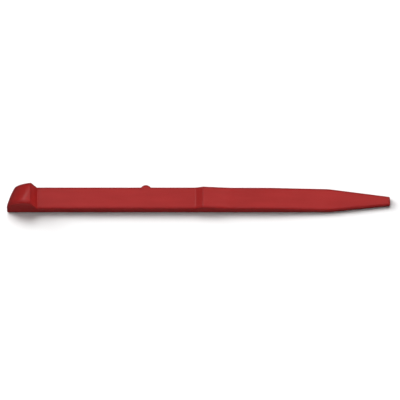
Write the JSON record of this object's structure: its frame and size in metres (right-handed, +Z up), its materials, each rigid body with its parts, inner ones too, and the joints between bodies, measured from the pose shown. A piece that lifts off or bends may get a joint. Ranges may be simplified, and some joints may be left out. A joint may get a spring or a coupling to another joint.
{
  "type": "pocket knife toothpick",
  "caption": "One-piece moulded plastic toothpick that slides into a pocket knife's handle scale, with a fingernail lip, a friction nub and a tapered blunt point.",
  "frame": {"origin": "centre of the flat underside: half-way along the toothpick, midway between its two long edges", "axes": "+X along the toothpick from the head to the tip, +Y towards the long edge with the friction nub, +Z up out of the flat underside, towards the lip's crest"},
  "size_m": [0.05, 0.0034, 0.0034],
  "materials": {
    "red_plastic": "satin moulded plastic, dyed red right through"
  },
  "bodies": {
    "root": {"toothpick": "red_plastic"}
  },
  "joints": []
}
